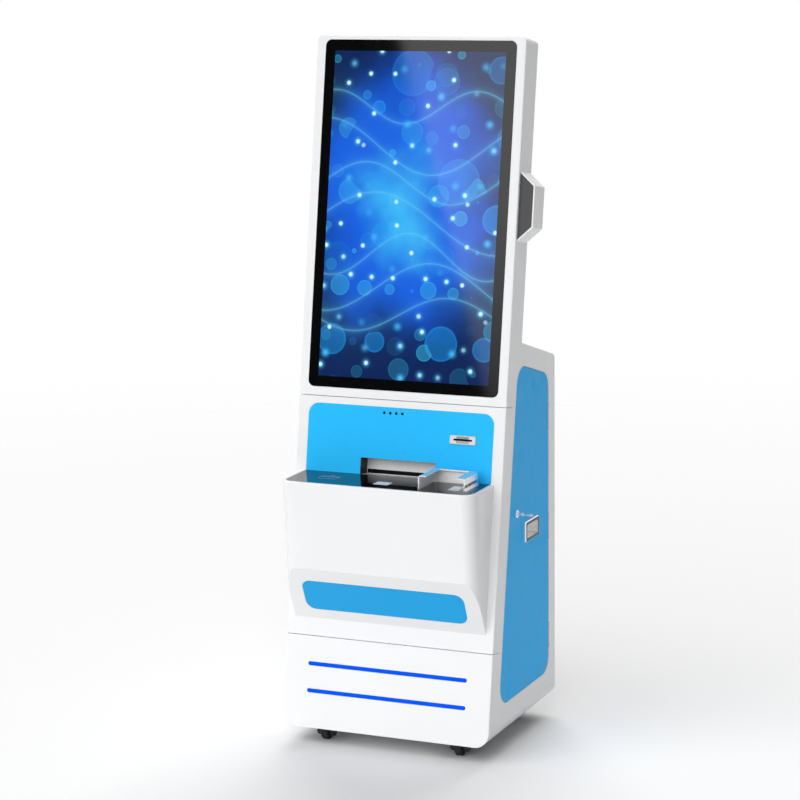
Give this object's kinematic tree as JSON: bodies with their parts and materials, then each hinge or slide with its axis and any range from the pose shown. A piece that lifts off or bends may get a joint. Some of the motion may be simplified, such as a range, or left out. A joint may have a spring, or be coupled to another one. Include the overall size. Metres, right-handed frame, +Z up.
{
  "type": "self-service kiosk",
  "caption": "Floor-standing self-service kiosk: leaning portrait touch screen, card slot, paper outlet, reader console with open hood, hinged side door with lock, castors.",
  "frame": {"origin": "centre of the bounding box in plan, on the floor under the castors", "axes": "+Z up, +Y towards the back, -Y towards the person using it, +X to that person's right"},
  "size_m": [0.697, 0.5976, 2.0362],
  "materials": {
    "white_paint": "smooth white powder coat",
    "console_paint": "smooth white satin coat",
    "blue_front": "glossy light blue",
    "blue_inlay": "satin light blue",
    "blue_door": "satin light blue coat",
    "screen_glass": "clear gloss with a black border",
    "screen_panel": "lit blue picture",
    "console_black_glass": "black gloss",
    "hood_chrome": "bright polished",
    "handle_chrome": "bright satin",
    "bezel_silver": "bright satin silver",
    "outlet_grey": "light grey",
    "window_white": "frosted white",
    "light_blue": "lit blue diffuser",
    "pod_black": "dark tinted window",
    "module_black": "fine grain black",
    "rocker_black": "black",
    "roller_rubber": "dull dark rubber",
    "bare_aluminium": "mill finish",
    "inner_steel": "zinc plated",
    "screw_blue": "dark blue heads",
    "castor_black": "black fine grain",
    "castor_tread": "dull black rubber"
  },
  "bodies": {
    "cabinet": {"base_pan": "white_paint", "left_side_panel": "white_paint", "right_side_panel": "white_paint", "rear_panel": "white_paint", "top_cover": "white_paint", "head_rear_panel": "white_paint", "lower_front_panel": "white_paint", "mid_front_panel": "white_paint", "head_front_frame": "white_paint", "pod_shell": "white_paint", "console_shell": "console_paint", "graphic_panel": "blue_front", "console_inset": "blue_inlay", "display_glass": "screen_glass", "lcd_module": "screen_panel", "console_glass": "console_black_glass", "document_hood": "hood_chrome", "card_reader_bezel": "bezel_silver", "printer_chute": "outlet_grey", "scan_window": "window_white", "light_strips": "light_blue", "pod_window": "pod_black", "microphone_strip": "module_black", "card_reader": "module_black", "printer_body": "module_black", "document_reader": "module_black", "code_scanner": "module_black", "contactless_reader": "module_black", "pod_camera": "module_black", "power_inlet": "module_black", "controller_box": "bare_aluminium", "power_supply": "bare_aluminium", "base_frame": "inner_steel", "castor_plates": "inner_steel", "display_brackets": "inner_steel", "equipment_shelf": "inner_steel", "hinge_frame_leaves": "inner_steel", "hinge_pins": "inner_steel"},
    "door": {"side_door": "blue_door", "hinge_door_leaves": "inner_steel", "door_handle": "handle_chrome", "door_vent": "blue_door", "door_screws": "screw_blue", "lock_body": "handle_chrome"},
    "lock": {"lock_plug": "handle_chrome", "door_key": "handle_chrome", "lock_cam": "inner_steel"},
    "drive_roller": {"drive_roller": "roller_rubber"},
    "pinch_roller": {"pinch_roller": "roller_rubber"},
    "power_rocker": {"power_rocker": "rocker_black"},
    "castor_front_left": {"castor_fork_front_left": "castor_black"},
    "wheel_front_left": {"castor_wheel_front_left": "castor_tread"},
    "pedal_front_left": {"brake_pedal_front_left": "castor_black"},
    "castor_front_right": {"castor_fork_front_right": "castor_black"},
    "wheel_front_right": {"castor_wheel_front_right": "castor_tread"},
    "pedal_front_right": {"brake_pedal_front_right": "castor_black"},
    "castor_rear_left": {"castor_fork_rear_left": "castor_black"},
    "wheel_rear_left": {"castor_wheel_rear_left": "castor_tread"},
    "castor_rear_right": {"castor_fork_rear_right": "castor_black"},
    "wheel_rear_right": {"castor_wheel_rear_right": "castor_tread"}
  },
  "joints": [
    {"name": "door_hinge", "type": "hinge", "parent": "cabinet", "child": "door", "pos_m": [0.2985, 0.24133, 0.6], "axis": [0, 0, 1], "range_deg": [0, 105]},
    {"name": "lock_turn", "type": "hinge", "parent": "door", "child": "lock", "pos_m": [0.2985, -0.02273, 0.6845], "axis": [1, 0, 0], "range_deg": [0, 90]},
    {"name": "drive_roller_spin", "type": "hinge", "parent": "cabinet", "child": "drive_roller", "pos_m": [-0.025, -0.05388, 0.78387], "axis": [1, 0, 0], "continuous": true},
    {"name": "pinch_roller_spin", "type": "hinge", "parent": "cabinet", "child": "pinch_roller", "pos_m": [-0.025, -0.05388, 0.79617], "axis": [1, 0, 0], "continuous": true},
    {"name": "power_switch", "type": "hinge", "parent": "cabinet", "child": "power_rocker", "pos_m": [-0.215, 0.29283, 0.1835], "axis": [-1, 0, 0], "range_deg": [0, 14]},
    {"name": "swivel_front_left", "type": "hinge", "parent": "cabinet", "child": "castor_front_left", "pos_m": [-0.236, -0.16317, 0.06], "axis": [0, 0, 1], "continuous": true},
    {"name": "roll_front_left", "type": "hinge", "parent": "castor_front_left", "child": "wheel_front_left", "pos_m": [-0.236, -0.18517, 0.025], "axis": [1, 0, 0], "continuous": true},
    {"name": "brake_front_left", "type": "hinge", "parent": "castor_front_left", "child": "pedal_front_left", "pos_m": [-0.236, -0.20517, 0.048], "axis": [1, 0, 0], "range_deg": [0, 30]},
    {"name": "swivel_front_right", "type": "hinge", "parent": "cabinet", "child": "castor_front_right", "pos_m": [0.186, -0.16317, 0.06], "axis": [0, 0, 1], "continuous": true},
    {"name": "roll_front_right", "type": "hinge", "parent": "castor_front_right", "child": "wheel_front_right", "pos_m": [0.186, -0.18517, 0.025], "axis": [1, 0, 0], "continuous": true},
    {"name": "brake_front_right", "type": "hinge", "parent": "castor_front_right", "child": "pedal_front_right", "pos_m": [0.186, -0.20517, 0.048], "axis": [1, 0, 0], "range_deg": [0, 30]},
    {"name": "swivel_rear_left", "type": "hinge", "parent": "cabinet", "child": "castor_rear_left", "pos_m": [-0.236, 0.20483, 0.06], "axis": [0, 0, 1], "continuous": true},
    {"name": "roll_rear_left", "type": "hinge", "parent": "castor_rear_left", "child": "wheel_rear_left", "pos_m": [-0.236, 0.22683, 0.025], "axis": [1, 0, 0], "continuous": true},
    {"name": "swivel_rear_right", "type": "hinge", "parent": "cabinet", "child": "castor_rear_right", "pos_m": [0.186, 0.20483, 0.06], "axis": [0, 0, 1], "continuous": true},
    {"name": "roll_rear_right", "type": "hinge", "parent": "castor_rear_right", "child": "wheel_rear_right", "pos_m": [0.186, 0.22683, 0.025], "axis": [1, 0, 0], "continuous": true}
  ],
  "couplings": [
    {"joint": "pinch_roller_spin", "follows": "drive_roller_spin", "ratio": -1.4}
  ]
}
